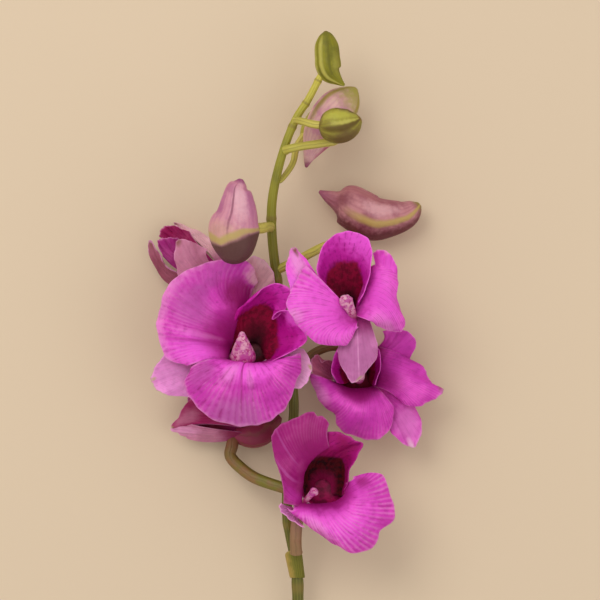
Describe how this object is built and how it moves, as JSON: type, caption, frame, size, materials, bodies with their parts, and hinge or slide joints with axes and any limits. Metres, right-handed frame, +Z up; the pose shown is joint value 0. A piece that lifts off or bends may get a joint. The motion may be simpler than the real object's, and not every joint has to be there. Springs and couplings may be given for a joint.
{
  "type": "dendrobium orchid flower spray",
  "caption": "Cut dendrobium orchid spray lying down: magenta open blooms, half-open blooms and buds on one arching green stem.",
  "frame": {"origin": "on the surface the spray lies on, below the middle of its bounding box", "axes": "+Y along the stem towards the growing tip, +Z up, away from the surface, and +X to the right seen from above"},
  "size_m": [0.1034, 0.2602, 0.0478],
  "materials": {
    "petal": "matte",
    "sepal": "matte",
    "lip": "matte",
    "column": "satin",
    "pink_bud": "satin",
    "green_bud": "satin",
    "stalk": "satin",
    "stem": "satin",
    "bract": "matte"
  },
  "bodies": {
    "root": {"stem": "stem", "lower_bract": "bract", "bloom_left_petal_upper": "petal", "bloom_left_petal_lower": "petal", "bloom_left_dorsal_sepal": "sepal", "bloom_left_lateral_sepal_right": "sepal", "bloom_left_lateral_sepal_upper": "sepal", "bloom_left_lip": "lip", "bloom_left_column": "column", "bloom_left_stalk": "stalk", "bloom_right_petal_left": "petal", "bloom_right_petal_right": "petal", "bloom_right_dorsal_sepal": "sepal", "bloom_right_lateral_sepal_left": "sepal", "bloom_right_lateral_sepal_right": "sepal", "bloom_right_lip": "lip", "bloom_right_column": "column", "bloom_right_stalk": "stalk", "bloom_rear_petal_lower": "petal", "bloom_rear_petal_right": "petal", "bloom_rear_dorsal_sepal": "sepal", "bloom_rear_lateral_sepal_left": "sepal", "bloom_rear_lateral_sepal_upper": "sepal", "bloom_rear_lip": "lip", "bloom_rear_column": "column", "bloom_rear_stalk": "stalk", "bloom_low_petal_upper": "petal", "bloom_low_petal_lower": "petal", "bloom_low_dorsal_sepal": "sepal", "bloom_low_lateral_sepal_upper": "sepal", "bloom_low_lateral_sepal_right": "sepal", "bloom_low_lip": "lip", "bloom_low_column": "column", "bloom_low_stalk": "stalk", "half_open_low_dorsal_sepal": "sepal", "half_open_low_lateral_sepal_front": "sepal", "half_open_low_lateral_sepal_rear": "sepal", "half_open_low_petal_upper": "petal", "half_open_low_petal_lower": "petal", "half_open_low_spur": "sepal", "half_open_low_stalk": "stalk", "half_open_high_sepal_left": "sepal", "half_open_high_sepal_front": "sepal", "half_open_high_sepal_rear": "sepal", "half_open_high_petal_left": "petal", "half_open_high_petal_right": "petal", "half_open_high_spur": "sepal", "half_open_high_stalk": "stalk", "bud_left": "pink_bud", "bud_left_stalk": "stalk", "bud_right": "pink_bud", "bud_right_stalk": "stalk", "bud_rear": "pink_bud", "bud_rear_stalk": "stalk", "bud_front": "green_bud", "bud_front_stalk": "stalk", "bud_hidden": "green_bud", "bud_hidden_stalk": "stalk", "bud_tip": "green_bud"}
  },
  "joints": []
}
